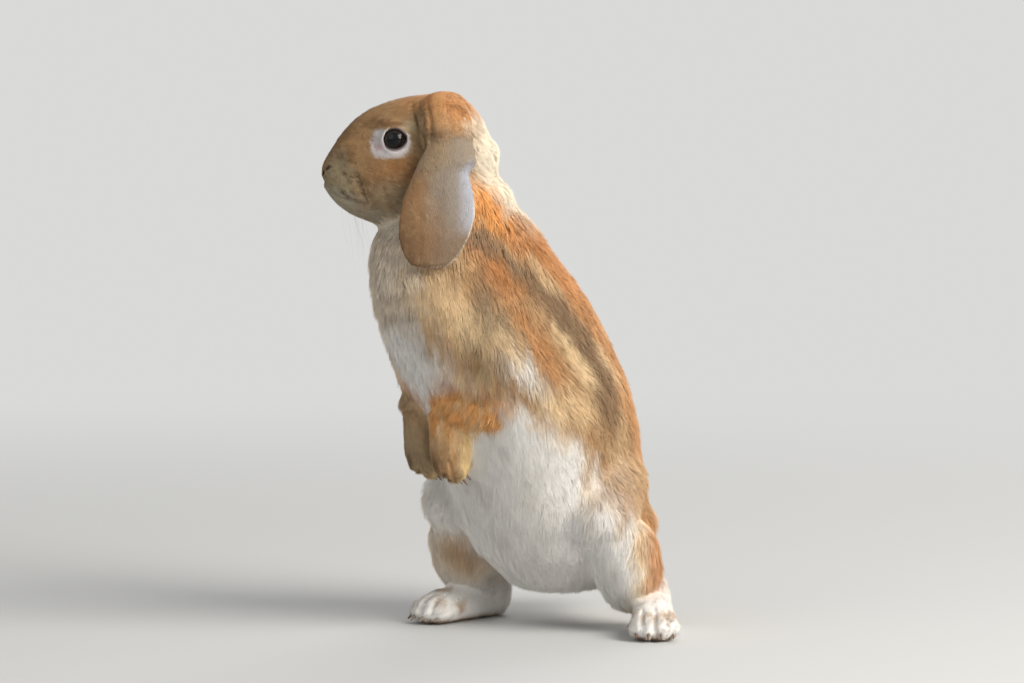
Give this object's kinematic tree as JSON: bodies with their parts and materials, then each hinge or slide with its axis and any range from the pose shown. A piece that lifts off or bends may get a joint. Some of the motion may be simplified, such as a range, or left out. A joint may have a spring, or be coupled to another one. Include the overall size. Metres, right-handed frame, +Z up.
{
  "type": "lop-eared rabbit",
  "caption": "Life-size lop-eared rabbit standing upright on its hind feet, forepaws hanging in front of the belly, head turned to its right, fawn-orange and white coat.",
  "frame": {"origin": "middle of the part's box, on the floor that the soles stand on", "axes": "+Z up; the pelvis faces -Y; the animal's left side is +X"},
  "size_m": [0.212, 0.2306, 0.3486],
  "materials": {
    "fawn_fur": "short dense fur, fawn with grey-brown ticking",
    "orange_fur": "soft medium fur, orange fawn",
    "cream_fur": "soft medium fur, cream",
    "white_fur": "soft medium fur, off-white",
    "ear_fur": "very short velvety fur, grey-tan",
    "eye": null,
    "claw": null
  },
  "bodies": {
    "root": {"eye_left": "eye", "ear_left": "ear_fur", "eye_right": "eye", "ear_right": "ear_fur", "head": "fawn_fur", "neck": "cream_fur", "trunk": "orange_fur", "tail": "white_fur", "forearm_left": "orange_fur", "forepaw_left": "fawn_fur", "thigh_left": "cream_fur", "shank_left": "white_fur", "hind_foot_left": "white_fur", "fore_claw_left_1": "claw", "fore_claw_left_2": "claw", "fore_claw_left_3": "claw", "fore_claw_left_4": "claw", "fore_claw_left_5": "claw", "hind_claw_left_1": "claw", "hind_claw_left_2": "claw", "hind_claw_left_3": "claw", "hind_claw_left_4": "claw", "forearm_right": "orange_fur", "forepaw_right": "fawn_fur", "thigh_right": "cream_fur", "shank_right": "white_fur", "hind_foot_right": "white_fur", "fore_claw_right_1": "claw", "fore_claw_right_2": "claw", "fore_claw_right_3": "claw", "fore_claw_right_4": "claw", "fore_claw_right_5": "claw", "hind_claw_right_1": "claw", "hind_claw_right_2": "claw", "hind_claw_right_3": "claw", "hind_claw_right_4": "claw"}
  },
  "joints": []
}
